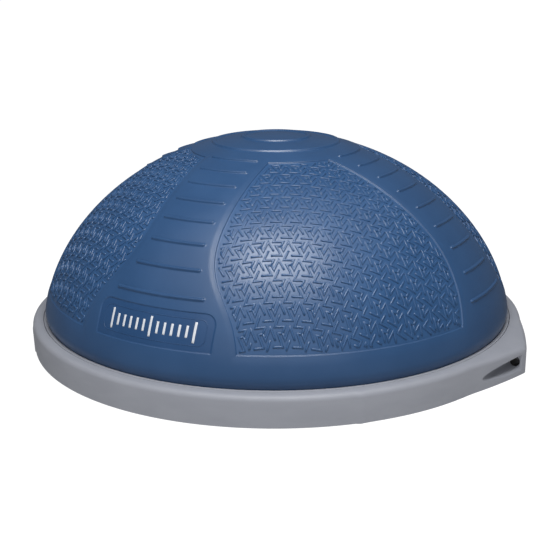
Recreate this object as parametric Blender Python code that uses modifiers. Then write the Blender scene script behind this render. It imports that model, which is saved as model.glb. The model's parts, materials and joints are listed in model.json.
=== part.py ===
"""Balance dome trainer: an inflated half dome clamped to a rigid round platform.

Metres, +Z up. The origin is at the centre of the object, on the plane that its foot pads stand on.
An azimuth is measured from -Y towards +X. The two handles lie on the X axis.
"""

import math

import bmesh
import bpy
from mathutils import Matrix, Vector

# Driving dimensions.
PLATFORM_RADIUS = 0.3125
PLATFORM_HEIGHT = 0.0366
TOTAL_HEIGHT = 0.2594
DOME_RADIUS = 0.2982
DOME_WALL = 0.005
GAP = 0.0003

# Dome: an upright superellipse, (r / DOME_RADIUS)^ROUND_R + (h / height)^ROUND_Z = 1.
DOME_BASE = 0.0342
ROUND_R = 2.04
ROUND_Z = 1.74
TUCK_TOP = 0.048
TUCK_BEND = 0.038
FLANGE_TOP = 0.0237
FLANGE_INNER = 0.2860
FLANGE_OUTER = 0.2910
FLANGE_THICK = 0.0034
DOME_STEPS = 64
DOME_RINGS = 13

# Platform moulding.
PLATFORM_STEPS = 120
PLATFORM_BOTTOM = 0.0005
DECK_TOP = 0.006
LEDGE_HEIGHT = 0.020
LEDGE_INNER = 0.277
SEAM_RADIUS = 0.3003
WALL_DRAFT = 0.0012
EDGE_ROUND = 0.006
BOTTOM_CHAMFER = 0.0008
RIB_COUNT = 12
RIB_THICK = 0.003
RIB_INNER = 0.070
RIB_HOOPS = (0.072, 0.175)

# Handles: blunt points of the platform's wall, each with a finger scoop on both sides of a web.
# From the point, each flank falls away by its slope and, slightly more, by its arc.
HANDLE_AZIMUTHS = (90.0, 270.0)
HANDLE_REACH = 0.0214
HANDLE_NOSE = 0.0020
FLANK_SLOPE = 0.30
FLANK_ARC = 0.540
HANDLE_BLEND = 0.0010
HANDLE_TAPER = 0.06
HANDLE_DROP = 0.0030
HANDLE_SPAN = math.pi / 4
WEB_HALF = 0.0095
SCOOP_TIP = 0.077
SCOOP_DEPTH = 0.0175
SCOOP_HALF_HEIGHT = 0.0083
SCOOP_HEIGHT = 0.0175
SCOOP_TIP_HEIGHT = 0.0154
TUNNEL_OFFSET = 0.0110
TUNNEL_HEIGHT = 0.0165
TUNNEL_RADIUS = 0.0062
SLEEVE_WALL = 0.0014

# Clamp ring and its screws.
RING_OUTER = 0.2997
SCREW_COUNT = 16
SCREW_CIRCLE = 0.2955
SCREW_RADIUS = 0.0020
SCREW_HEAD_RADIUS = 0.0042
SCREW_HEAD_HEIGHT = 0.0030
SCREW_TOP = 0.0325
COUNTERBORE_TOP = 0.009

# Foot pads.
PAD_COUNT = 8
PAD_CIRCLE = 0.258
PAD_RADIUS = 0.015
PAD_RECESS_TOP = 0.003

# Air valve, in the smooth skirt of the dome.
VALVE_AZIMUTH = 225.0
VALVE_HEIGHT = 0.056
SEAT_FLANGE_RADIUS = 0.0115
SEAT_BARREL_RADIUS = 0.0078
SEAT_BORE_RADIUS = 0.0045
SEAT_LENGTH = 0.012
SEAT_PROUD = 0.0022
PLUG_SHANK_RADIUS = 0.0041
PLUG_HEAD_RADIUS = 0.0080
PLUG_HEAD_HEIGHT = 0.0030
PLUG_LENGTH = 0.016


def clear_scene():
    for obj in list(bpy.data.objects):
        bpy.data.objects.remove(obj, do_unlink=True)


def new_collection(name, hidden=False):
    collection = bpy.data.collections.new(name)
    bpy.context.scene.collection.children.link(collection)
    collection.hide_render = hidden
    return collection


clear_scene()
TRAINER = new_collection("balance_dome_trainer")
CUTTERS = new_collection("cutters", hidden=True)
RIBS = new_collection("platform_ribs", hidden=True)
POCKETS = new_collection("platform_pockets", hidden=True)


def material(name, colour, roughness, metallic=0.0):
    made = bpy.data.materials.new(name)
    made.use_nodes = True
    shader = made.node_tree.nodes["Principled BSDF"]
    shader.inputs["Base Color"].default_value = (*colour, 1.0)
    shader.inputs["Roughness"].default_value = roughness
    shader.inputs["Metallic"].default_value = metallic
    return made


def at(azimuth, radius, height=0.0):
    """The point at this azimuth in degrees, distance from the axis and height."""
    angle = math.radians(azimuth)
    return Vector((radius * math.sin(angle), -radius * math.cos(angle), height))


def add_object(name, mesh, collection, finish=None):
    obj = bpy.data.objects.new(name, mesh)
    collection.objects.link(obj)
    if finish:
        mesh.materials.append(finish)
    if collection is not TRAINER:
        obj.hide_render = True
        obj.display_type = "WIRE"
    return obj


def smooth(obj):
    obj.data.shade_smooth()
    obj.data.set_sharp_from_angle(angle=math.radians(35))


def turned(name, profile, steps, collection, finish=None, closed=False):
    """A turned piece from (radius, height) points that run down its outer side."""
    mesh = bpy.data.meshes.new(name)
    edges = [(i, i + 1) for i in range(len(profile) - 1)]
    if closed:
        edges.append((len(profile) - 1, 0))
    mesh.from_pydata([(radius, 0.0, height) for radius, height in profile], edges, [])
    obj = add_object(name, mesh, collection, finish)
    screw = obj.modifiers.new("Turn", "SCREW")
    screw.steps = steps
    screw.render_steps = steps
    screw.use_merge_vertices = True
    screw.merge_threshold = 0.00001
    return obj


def baked(obj):
    """Replaces the object's mesh by its evaluated one, so that its points can be moved or shared."""
    graph = bpy.context.evaluated_depsgraph_get()
    mesh = bpy.data.meshes.new_from_object(obj.evaluated_get(graph))
    obj.modifiers.clear()
    obj.data = mesh
    return obj


def cone(name, radii, depth, segments, matrix, collection):
    """A cylinder or cone along the matrix's Z axis, centred on its origin."""
    mesh = bpy.data.meshes.new(name)
    shape = bmesh.new()
    bmesh.ops.create_cone(
        shape, cap_ends=True, segments=segments, radius1=radii[0], radius2=radii[1], depth=depth, matrix=matrix
    )
    shape.to_mesh(mesh)
    shape.free()
    return add_object(name, mesh, collection)


def boolean(obj, other, operation="DIFFERENCE"):
    """Cuts the other object, or every object of the other collection, from this one, or joins it."""
    modifier = obj.modifiers.new(other.name, "BOOLEAN")
    modifier.operation = operation
    if isinstance(other, bpy.types.Collection):
        modifier.operand_type = "COLLECTION"
        modifier.collection = other
    else:
        modifier.object = other
    modifier.solver = "EXACT"


def dome_radius(height):
    """The dome's outer radius at this height, above its tuck."""
    share = (height - DOME_BASE) / (TOTAL_HEIGHT - DOME_BASE)
    return DOME_RADIUS * max(0.0, 1.0 - share**ROUND_Z) ** (1.0 / ROUND_R)


def dome_lean(height):
    """How far the dome's outward normal tilts up at this height, in radians."""
    step = 0.0005
    return math.atan((dome_radius(height - step) - dome_radius(height + step)) / (2 * step))


def tuck_point(t):
    """A point of the curve on which the dome's rim tucks in under the clamp ring."""
    top = Vector((dome_radius(TUCK_TOP), TUCK_TOP))
    bend = Vector((top.x + math.tan(dome_lean(TUCK_TOP)) * (TUCK_TOP - TUCK_BEND), TUCK_BEND))
    end = Vector((FLANGE_INNER, FLANGE_TOP))
    return top * (1 - t) ** 2 + bend * 2 * t * (1 - t) + end * t**2


def make_dome(finish):
    """The air dome: a thick shell, open underneath, whose rim tucks in and ends in a flange."""
    height = TOTAL_HEIGHT - DOME_BASE
    tuck_share = (TUCK_TOP - DOME_BASE) / height
    start = math.asin(tuck_share ** (ROUND_Z / 2))
    profile = []
    for i in range(DOME_RINGS + 1):
        angle = math.pi / 2 + (start - math.pi / 2) * i / DOME_RINGS
        radius = DOME_RADIUS * max(0.0, math.cos(angle)) ** (2 / ROUND_R)
        profile.append((radius if i else 0.0, DOME_BASE + height * math.sin(angle) ** (2 / ROUND_Z)))
    profile += [tuple(tuck_point(t)) for t in (0.25, 0.5, 0.75, 1.0)]
    profile.append((FLANGE_OUTER, FLANGE_TOP))
    dome = turned("dome_shell", profile, DOME_STEPS, TRAINER, finish)
    wall = dome.modifiers.new("Wall", "SOLIDIFY")
    wall.thickness = FLANGE_THICK
    wall.offset = -1.0
    wall.use_even_offset = False
    smooth(baked(dome))
    thicken_dome(dome)
    return dome


def thicken_dome(dome):
    """Moves the shell's inner points in, so that the wall is thicker above the flange."""
    height = TOTAL_HEIGHT - DOME_BASE
    more = DOME_WALL - FLANGE_THICK
    for vertex in dome.data.vertices:
        radius = math.hypot(vertex.co.x, vertex.co.y)
        share = max(0.0, vertex.co.z - DOME_BASE) / height
        inside = (radius / DOME_RADIUS) ** ROUND_R + share**ROUND_Z < 0.995
        if inside and vertex.co.z > TUCK_TOP:
            shrink = more / TOTAL_HEIGHT
            vertex.co.x *= 1 - shrink
            vertex.co.y *= 1 - shrink
            vertex.co.z = DOME_BASE + (vertex.co.z - DOME_BASE) * (1 - shrink)


def valve_frame():
    """The valve's frame: its origin on the dome's outer surface, its Z axis pointing out."""
    origin = at(VALVE_AZIMUTH, dome_radius(VALVE_HEIGHT), VALVE_HEIGHT)
    lean = dome_lean(VALVE_HEIGHT)
    out = at(VALVE_AZIMUTH, math.cos(lean), math.sin(lean))
    return Matrix.Translation(origin) @ out.to_track_quat("Z", "Y").to_matrix().to_4x4()


def make_valve(dome, rubber, plastic):
    """The rubber seat in the dome's wall and the plug that pulls straight out of it."""
    frame = valve_frame()
    hole_depth = 0.05
    boolean(dome, cone("valve_hole", [SEAT_BARREL_RADIUS + GAP] * 2, hole_depth, 32, frame, CUTTERS))
    flange_bottom = 2 * GAP
    seat_profile = [
        (SEAT_BORE_RADIUS, SEAT_PROUD),
        (SEAT_FLANGE_RADIUS - 0.001, SEAT_PROUD),
        (SEAT_FLANGE_RADIUS, SEAT_PROUD - 0.0008),
        (SEAT_FLANGE_RADIUS, flange_bottom),
        (SEAT_BARREL_RADIUS, flange_bottom),
        (SEAT_BARREL_RADIUS, -SEAT_LENGTH),
        (SEAT_BORE_RADIUS, -SEAT_LENGTH),
    ]
    seat = turned("valve_seat", seat_profile, 32, TRAINER, rubber, closed=True)
    seat.matrix_world = frame
    smooth(seat)
    head_bottom = SEAT_PROUD + GAP
    head_top = head_bottom + PLUG_HEAD_HEIGHT
    plug_profile = [
        (0.0, head_top),
        (0.5 * PLUG_HEAD_RADIUS, head_top - 0.0002),
        (PLUG_HEAD_RADIUS - 0.001, head_top - 0.0008),
        (PLUG_HEAD_RADIUS, head_top - 0.0018),
        (PLUG_HEAD_RADIUS, head_bottom),
        (PLUG_SHANK_RADIUS, head_bottom),
        (PLUG_SHANK_RADIUS, 0.002 - PLUG_LENGTH),
        (PLUG_SHANK_RADIUS - 0.001, -PLUG_LENGTH),
        (0.0, -PLUG_LENGTH),
    ]
    plug = turned("valve_plug", plug_profile, 32, TRAINER, plastic)
    plug.matrix_world = frame
    smooth(plug)


def make_bladder_floor(finish):
    """The flat membrane that closes the dome from below, inside its flange, on the platform's ribs."""
    radius = FLANGE_INNER - DOME_WALL - GAP
    bottom = LEDGE_HEIGHT + GAP
    top = bottom + 0.0025
    floor = turned("bladder_floor", [(0.0, top), (radius, top), (radius, bottom), (0.0, bottom)], 64, TRAINER, finish)
    smooth(floor)


def make_clamp_ring(finish):
    """The narrow ring that holds the dome's tucked rim down on the platform's ledge."""
    bottom = LEDGE_HEIGHT + GAP
    flange_clear = FLANGE_TOP + GAP
    inner = [tuck_point(t) + Vector((0.00035, 0.0)) for t in (0.98, 0.85, 0.7, 0.55)]
    profile = [
        (RING_OUTER - 0.0006, PLATFORM_HEIGHT),
        (RING_OUTER, PLATFORM_HEIGHT - 0.0006),
        (RING_OUTER, bottom),
        (FLANGE_OUTER + GAP, bottom),
        (FLANGE_OUTER + GAP, flange_clear),
        (inner[0].x, flange_clear),
        *[tuple(point) for point in inner[1:]],
        (tuck_point(0.5).x + 0.0006, PLATFORM_HEIGHT),
    ]
    ring = turned("clamp_ring", profile, DOME_STEPS, TRAINER, finish, closed=True)
    for i in range(SCREW_COUNT):
        place = Matrix.Translation(at(screw_azimuth(i), SCREW_CIRCLE, (SCREW_TOP + GAP) / 2))
        pilot = cone(f"pilot_hole_{i + 1}", [SCREW_RADIUS + GAP] * 2, SCREW_TOP + GAP, 8, place, CUTTERS)
        boolean(ring, pilot)
    smooth(ring)


def screw_azimuth(index):
    return (index + 0.5) * 360 / SCREW_COUNT


def flank(across):
    """How far out of the axis a handle's flank is, at this distance from the handle's middle."""
    nose = math.hypot(across, HANDLE_NOSE) - HANDLE_NOSE
    return PLATFORM_RADIUS + HANDLE_REACH - FLANK_SLOPE * nose - across**2 / (2 * FLANK_ARC)


def handle_bulge(azimuth):
    """How far a handle pushes the platform's wall out at this azimuth."""
    bulge = 0.0
    for handle in HANDLE_AZIMUTHS:
        away = math.radians((azimuth - handle + 180) % 360 - 180)
        if abs(away) > HANDLE_SPAN:
            continue
        radius = PLATFORM_RADIUS
        for _ in range(8):
            radius = flank(radius * math.sin(away)) / math.cos(away)
        over = radius - PLATFORM_RADIUS
        bulge += 0.5 * (over + math.hypot(over, HANDLE_BLEND))
    return bulge


def platform_profile():
    """The platform's section, from the middle of the deck's top round to the middle of its underside."""
    wall_top = PLATFORM_RADIUS + WALL_DRAFT
    points = [
        (0.0, DECK_TOP),
        (LEDGE_INNER, DECK_TOP),
        (LEDGE_INNER, LEDGE_HEIGHT),
        (SEAM_RADIUS, LEDGE_HEIGHT),
        (SEAM_RADIUS, PLATFORM_HEIGHT - 0.0006),
        (SEAM_RADIUS + 0.0006, PLATFORM_HEIGHT),
    ]
    for i in range(4):
        angle = math.radians(90 - 30 * i)
        points.append(
            (
                wall_top - EDGE_ROUND + EDGE_ROUND * math.cos(angle),
                PLATFORM_HEIGHT - EDGE_ROUND + EDGE_ROUND * math.sin(angle),
            )
        )
    points += [
        (wall_top - WALL_DRAFT / 2, PLATFORM_HEIGHT / 2),
        (PLATFORM_RADIUS, PLATFORM_BOTTOM + BOTTOM_CHAMFER),
        (PLATFORM_RADIUS - BOTTOM_CHAMFER, PLATFORM_BOTTOM),
        (0.0, PLATFORM_BOTTOM),
    ]
    return points


def make_platform(finish):
    platform = baked(turned("platform", platform_profile(), PLATFORM_STEPS, TRAINER, finish))
    slope_start = SEAM_RADIUS + 0.003
    for vertex in platform.data.vertices:
        radius = math.hypot(vertex.co.x, vertex.co.y)
        if radius > slope_start:
            azimuth = math.degrees(math.atan2(vertex.co.x, -vertex.co.y))
            bulge = handle_bulge(azimuth)
            rise = vertex.co.z / PLATFORM_HEIGHT
            outward = bulge * (1 - HANDLE_TAPER * rise)
            vertex.co.x *= 1 + outward / radius
            vertex.co.y *= 1 + outward / radius
            vertex.co.z -= HANDLE_DROP * rise * bulge / HANDLE_REACH
    smooth(platform)
    add_ribs()
    boolean(platform, RIBS, "UNION")
    add_screw_pockets()
    add_pad_pockets()
    add_handle_pockets()
    boolean(platform, POCKETS)


def add_ribs():
    """Radial ribs and two hoops stiffen the deck and carry the bladder's floor."""
    bottom = DECK_TOP - 0.002
    top = LEDGE_HEIGHT - GAP
    length = LEDGE_INNER + 0.002 - RIB_INNER
    for i in range(RIB_COUNT):
        mesh = bpy.data.meshes.new(f"rib_{i + 1}")
        shape = bmesh.new()
        place = (
            Matrix.Rotation(math.radians(i * 360 / RIB_COUNT + 5.0), 4, "Z")
            @ Matrix.Translation((RIB_INNER + length / 2, 0.0, (bottom + top) / 2))
            @ Matrix.Diagonal((length, RIB_THICK, top - bottom, 1.0))
        )
        bmesh.ops.create_cube(shape, size=1.0, matrix=place)
        shape.to_mesh(mesh)
        shape.free()
        add_object(f"rib_{i + 1}", mesh, RIBS)
    for i, radius in enumerate(RIB_HOOPS):
        profile = [
            (radius + RIB_THICK / 2, top - 0.001),
            (radius + RIB_THICK / 2, bottom),
            (radius - RIB_THICK / 2, bottom),
            (radius - RIB_THICK / 2, top - 0.001),
        ]
        turned(f"rib_hoop_{i + 1}", profile, 48, RIBS, closed=True)


def add_screw_pockets():
    for i in range(SCREW_COUNT):
        height = 0.03
        place = Matrix.Translation(at(screw_azimuth(i), SCREW_CIRCLE, height / 2))
        cone(f"screw_hole_{i + 1}", [SCREW_RADIUS + GAP] * 2, height, 8, place, POCKETS)
        depth = COUNTERBORE_TOP + 0.005
        place = Matrix.Translation(at(screw_azimuth(i), SCREW_CIRCLE, COUNTERBORE_TOP - depth / 2))
        cone(f"counterbore_{i + 1}", [SCREW_HEAD_RADIUS + 0.0006] * 2, depth, 12, place, POCKETS)


def add_pad_pockets():
    for i in range(PAD_COUNT):
        depth = PAD_RECESS_TOP + 0.005
        place = Matrix.Translation(at(pad_azimuth(i), PAD_CIRCLE, PAD_RECESS_TOP - depth / 2))
        cone(f"pad_pocket_{i + 1}", [PAD_RADIUS + GAP] * 2, depth, 24, place, POCKETS)


def handle_place(azimuth, side):
    """A handle's frame: X out, Y along the wall away from its web on this side, at floor height."""
    turn = Matrix.Rotation(math.radians(azimuth - 90), 4, "Z")
    return turn @ Matrix.Diagonal((1.0, side, 1.0, 1.0))


def scoop_mesh(azimuth, side):
    """Half of a leaning ellipsoid, shallower to its end: its flat face is at the web, its point on the wall."""
    length = SCOOP_TIP - WEB_HALF
    tip = Vector((flank(SCOOP_TIP), SCOOP_TIP, SCOOP_TIP_HEIGHT))
    base = Vector((flank(WEB_HALF), WEB_HALF, SCOOP_HEIGHT))
    shape = bmesh.new()
    bmesh.ops.create_uvsphere(shape, u_segments=24, v_segments=14, radius=1.0)
    beyond_web = [vertex for vertex in shape.verts if vertex.co.z < -0.001]
    bmesh.ops.delete(shape, geom=beyond_web, context="VERTS")
    bmesh.ops.holes_fill(shape, edges=shape.edges, sides=0)
    for vertex in shape.verts:
        along = min(1.0, max(0.0, vertex.co.z))
        centre = base.lerp(tip, along)
        vertex.co = (
            centre.x + SCOOP_DEPTH * vertex.co.x * math.sqrt(1 - along**2),
            WEB_HALF + length * along,
            centre.z + SCOOP_HALF_HEIGHT * vertex.co.y,
        )
    bmesh.ops.transform(shape, matrix=handle_place(azimuth, side), verts=shape.verts)
    bmesh.ops.recalc_face_normals(shape, faces=shape.faces)
    return shape


def add_handle_pockets():
    """Two scoops and the tunnel between them, for each handle."""
    for number, azimuth in enumerate(HANDLE_AZIMUTHS, start=1):
        for side, word in ((1, "a"), (-1, "b")):
            name = f"scoop_{number}{word}"
            mesh = bpy.data.meshes.new(name)
            shape = scoop_mesh(azimuth, side)
            shape.to_mesh(mesh)
            shape.free()
            add_object(name, mesh, POCKETS)
        cone(
            f"tunnel_{number}", [TUNNEL_RADIUS] * 2, 2 * WEB_HALF + 0.002, 24, tunnel_frame(azimuth), POCKETS
        )


def tunnel_frame(azimuth):
    """The tunnel's frame: its Z axis runs along the wall."""
    centre = (PLATFORM_RADIUS + TUNNEL_OFFSET, 0.0, TUNNEL_HEIGHT)
    return handle_place(azimuth, 1) @ Matrix.Translation(centre) @ Matrix.Rotation(math.pi / 2, 4, "X")


def make_sleeves(finish):
    """A black tube lines each handle's tunnel."""
    outer = TUNNEL_RADIUS - GAP
    inner = outer - SLEEVE_WALL
    half = WEB_HALF - 0.0005
    for number, azimuth in enumerate(HANDLE_AZIMUTHS, start=1):
        profile = [(outer, half), (outer, -half), (inner, -half), (inner, half)]
        sleeve = turned(f"tunnel_sleeve_{number}", profile, 24, TRAINER, finish, closed=True)
        sleeve.matrix_world = tunnel_frame(azimuth)
        smooth(sleeve)


def make_screws(finish):
    """Pan-head screws with hexagon sockets, put in from below."""
    head_bottom = COUNTERBORE_TOP - GAP - SCREW_HEAD_HEIGHT
    head_top = COUNTERBORE_TOP - GAP
    profile = [
        (0.0, SCREW_TOP),
        (SCREW_RADIUS, SCREW_TOP),
        (SCREW_RADIUS, head_top),
        (SCREW_HEAD_RADIUS, head_top),
        (SCREW_HEAD_RADIUS, head_bottom + 0.0012),
        (SCREW_HEAD_RADIUS - 0.0012, head_bottom),
        (0.0, head_bottom),
    ]
    pattern = turned("clamp_screw_01", profile, 8, TRAINER, finish)
    socket = cone("hex_socket", [0.002] * 2, 0.004, 6, Matrix.Translation((0, 0, head_bottom)), CUTTERS)
    boolean(pattern, socket)
    smooth(baked(pattern))
    for i in range(SCREW_COUNT):
        screw = pattern if i == 0 else add_object(f"clamp_screw_{i + 1:02d}", pattern.data.copy(), TRAINER)
        screw.location = at(screw_azimuth(i), SCREW_CIRCLE)


def pad_azimuth(index):
    return (index + 0.5) * 360 / PAD_COUNT


def make_pads(finish):
    """Rubber discs in pockets of the underside. The object stands on them."""
    top = PAD_RECESS_TOP - GAP
    profile = [(0.0, top), (PAD_RADIUS, top), (PAD_RADIUS, 0.0006), (PAD_RADIUS - 0.0006, 0.0), (0.0, 0.0)]
    for i in range(PAD_COUNT):
        pad = turned(f"foot_pad_{i + 1}", profile, 24, TRAINER, finish)
        pad.location = at(pad_azimuth(i), PAD_CIRCLE)
        smooth(pad)


def main():
    blue_vinyl = material("blue_vinyl", (0.085, 0.160, 0.290), 0.45)
    grey_plastic = material("grey_plastic", (0.245, 0.255, 0.285), 0.55)
    ring_plastic = material("ring_plastic", (0.300, 0.310, 0.340), 0.50)
    black_rubber = material("black_rubber", (0.020, 0.020, 0.022), 0.70)
    black_plastic = material("black_plastic", (0.015, 0.015, 0.017), 0.40)
    zinc = material("zinc_steel", (0.560, 0.570, 0.580), 0.35, 1.0)
    dome = make_dome(blue_vinyl)
    make_valve(dome, black_rubber, grey_plastic)
    make_bladder_floor(blue_vinyl)
    make_clamp_ring(ring_plastic)
    make_platform(grey_plastic)
    make_sleeves(black_plastic)
    make_screws(zinc)
    make_pads(black_rubber)


main()
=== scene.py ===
# %% [markdown]
# # Balance dome trainer: the looks
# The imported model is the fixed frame: a blue air dome, clamped to a round grey platform with a handle on
# two sides, and a plug in the dome's skirt. Each cell below makes one visible piece or one finish, in
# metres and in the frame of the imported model. Azimuths are measured from -Y towards +X, as the dome is
# a turned form and every outline on it is easiest to state as an azimuth and a distance down from the top.

import json
import math

import bmesh
import bpy
import numpy as np
from mathutils import Matrix, Vector


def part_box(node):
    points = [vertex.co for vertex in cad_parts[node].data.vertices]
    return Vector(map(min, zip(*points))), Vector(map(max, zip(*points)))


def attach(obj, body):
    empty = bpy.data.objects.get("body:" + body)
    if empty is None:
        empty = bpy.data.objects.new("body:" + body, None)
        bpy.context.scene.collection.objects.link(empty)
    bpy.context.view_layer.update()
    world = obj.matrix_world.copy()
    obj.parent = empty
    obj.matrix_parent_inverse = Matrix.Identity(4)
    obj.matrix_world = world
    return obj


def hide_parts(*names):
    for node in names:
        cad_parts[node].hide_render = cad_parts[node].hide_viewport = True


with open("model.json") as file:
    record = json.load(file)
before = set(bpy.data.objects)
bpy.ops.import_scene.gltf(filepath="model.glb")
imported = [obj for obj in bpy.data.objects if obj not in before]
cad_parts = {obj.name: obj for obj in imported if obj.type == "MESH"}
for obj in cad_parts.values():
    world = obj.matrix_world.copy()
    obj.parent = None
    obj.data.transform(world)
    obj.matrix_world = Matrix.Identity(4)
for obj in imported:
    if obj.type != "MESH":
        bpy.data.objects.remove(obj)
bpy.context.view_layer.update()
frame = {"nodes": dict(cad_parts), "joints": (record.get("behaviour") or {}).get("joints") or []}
MM = 0.001

# %% [markdown]
# The camera stands a little above the trainer, turned about 29 degrees round towards one handle. Its lens
# is moderately long, because a short one would stretch the near side of the round platform. It aims at a
# point on the dome's axis, and a very small shift and roll settle the framing.

# %% Camera
CAMERA_AZIMUTH = 28.7
CAMERA_ELEVATION = 16.923
CAMERA_DISTANCE = 1.3647
CAMERA_AIM = 0.0676
CAMERA_ROLL = -0.2335


def at(azimuth, radius, height=0.0):
    """The point at this azimuth in degrees, distance from the dome's axis and height."""
    angle = math.radians(azimuth)
    return Vector((radius * math.sin(angle), -radius * math.cos(angle), height))


def above(azimuth, elevation):
    """The direction at this azimuth and elevation, both in degrees."""
    lift = math.radians(elevation)
    return at(azimuth, math.cos(lift), math.sin(lift))


camera_data = bpy.data.cameras.new("camera")
camera_data.lens = 67.0
camera_data.sensor_width = 36.0
camera_data.shift_x = 0.00634
camera = bpy.data.objects.new("camera", camera_data)
bpy.context.scene.collection.objects.link(camera)
aim = Vector((0.0, 0.0, CAMERA_AIM))
outward = above(CAMERA_AZIMUTH, CAMERA_ELEVATION)
facing = (-outward).to_track_quat("-Z", "Y").to_matrix()
roll = Matrix.Rotation(math.radians(CAMERA_ROLL), 3, "Z")
camera.matrix_world = Matrix.Translation(aim + outward * CAMERA_DISTANCE) @ (facing @ roll).to_4x4()
bpy.context.scene.camera = camera
print("camera at", [round(v, 3) for v in camera.location])

# %% [markdown]
# The trainer stands on a wide white floor in plain studio light. The lights are area lights, because a
# satin form needs broad soft highlights, and a point light would draw a hard spot. The key light hangs high
# in front and gives the sheen on the dome, a larger and weaker one fills its face, and two more fill its
# flanks. The floor glows, so that it stays white up to the horizon and lights the dome from below. It is
# hidden from glossy rays, because its reflection would wash out the dome's skirt.

# %% Floor and lights
FLOOR_RADIUS = 40.0


def softbox(name, azimuth, elevation, distance, size, power):
    """An area light of size (width, height) that looks at the dome, its azimuth counted from the camera's."""
    data = bpy.data.lights.new(name, "AREA")
    data.shape = "RECTANGLE"
    data.size, data.size_y = size
    data.energy = power
    light = bpy.data.objects.new(name, data)
    bpy.context.scene.collection.objects.link(light)
    direction = above(CAMERA_AZIMUTH + azimuth, elevation)
    inside_dome = Vector((0.0, 0.0, 0.1))
    turn = (-direction).to_track_quat("-Z", "Y").to_matrix().to_4x4()
    light.matrix_world = Matrix.Translation(inside_dome + direction * distance) @ turn
    return light


softbox("key", 1.0, 63.0, 1.35, (0.80, 0.65), 18.5)
softbox("front", 0.0, 30.0, 1.5, (1.8, 1.2), 5.0)
softbox("fill_left", -55.0, 55.0, 2.0, (1.4, 1.4), 4.0)
softbox("fill_right", 90.0, 70.0, 2.0, (1.4, 1.4), 4.5)

world = bpy.data.worlds.new("studio")
world.use_nodes = True
world.node_tree.nodes["Background"].inputs["Color"].default_value = (1.0, 1.0, 1.0, 1.0)
world.node_tree.nodes["Background"].inputs["Strength"].default_value = 0.12
bpy.context.scene.world = world
bpy.context.scene.view_settings.view_transform = "Standard"

bpy.ops.mesh.primitive_circle_add(vertices=64, radius=FLOOR_RADIUS, fill_type="NGON")
floor = bpy.context.object
floor.name = "floor"
floor.visible_glossy = False

# %% [markdown]
# Finishes are written as arithmetic. A `Socket` wraps one output of a node, and `+`, `-` and `*` on it
# add a Math node, so that a mask reads like a formula. `add` makes any other node: its type, its settings
# first, and then the values or links of its inputs.

# %% Shader arithmetic
class Socket:
    """An output of a shader node, with the arithmetic that the finishes use."""

    def __init__(self, finish, output):
        self.finish = finish
        self.output = output

    def _maths(self, operation, *values):
        return self.finish.add("ShaderNodeMath", {"operation": operation}, dict(enumerate(values)))

    def __add__(self, other):
        return self._maths("ADD", self, other)

    def __sub__(self, other):
        return self._maths("SUBTRACT", self, other)

    def __rsub__(self, other):
        return self._maths("SUBTRACT", other, self)

    def __mul__(self, other):
        return self._maths("MULTIPLY", self, other)

    __radd__ = __add__
    __rmul__ = __mul__

    def between(self, low, high):
        """0 below low, 1 above high, and an even slope between them."""
        settings = {"interpolation_type": "SMOOTHSTEP", "clamp": True}
        values = {"Value": self, "From Min": low, "From Max": high}
        return self.finish.add("ShaderNodeMapRange", settings, values, "Result")


class Finish:
    """A material with a Principled shader. Values go in by name, as numbers or as Sockets."""

    def __init__(self, name, **constants):
        self.material = bpy.data.materials.new(name)
        self.material.use_nodes = True
        self.nodes = self.material.node_tree.nodes
        self.links = self.material.node_tree.links
        self.shader = self.nodes["Principled BSDF"]
        self.set(**constants)

    def put(self, node, name, value):
        """Sets or links one input of a node."""
        if isinstance(value, Socket):
            self.links.new(value.output, node.inputs[name])
        elif isinstance(value, tuple) and len(value) == 3 and node.inputs[name].type == "RGBA":
            node.inputs[name].default_value = (*value, 1.0)
        else:
            node.inputs[name].default_value = value

    def add(self, kind, settings=None, inputs=None, output=0):
        node = self.nodes.new(kind)
        for name, value in (settings or {}).items():
            setattr(node, name, value)
        for name, value in (inputs or {}).items():
            self.put(node, name, value)
        return Socket(self, node.outputs[output])

    def place(self):
        return self.add("ShaderNodeTexCoord", output="Object")

    def noise(self, size, detail=2.0, stretch=None):
        """Noise from 0 to 1, with lumps of about this size in metres."""
        where = self.place()
        if stretch:
            where = self.add("ShaderNodeMapping", inputs={"Vector": where, "Scale": stretch})
        values = {"Vector": where, "Scale": 1.0 / size, "Detail": detail}
        return self.add("ShaderNodeTexNoise", inputs=values)

    def cells(self, size):
        """Distance to the nearest of many scattered points, about this far apart."""
        return self.add("ShaderNodeTexVoronoi", inputs={"Vector": self.place(), "Scale": 1.0 / size})

    def mix(self, share, first, second):
        """The first colour where share is 0, and the second where it is 1."""
        inputs = {"Factor": share, 6: first, 7: second}
        return self.add("ShaderNodeMix", {"data_type": "RGBA"}, inputs, 2)

    def bump(self, height, depth, strength=1.0):
        inputs = {"Height": height, "Distance": depth, "Strength": strength}
        return self.add("ShaderNodeBump", inputs=inputs)

    def set(self, **values):
        """Sets or links the Principled shader's inputs, named in small letters."""
        for name, value in values.items():
            self.put(self.shader, name.replace("_", " ").title().replace("Ior", "IOR"), value)
        return self.material


print("shader arithmetic ready")
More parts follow.
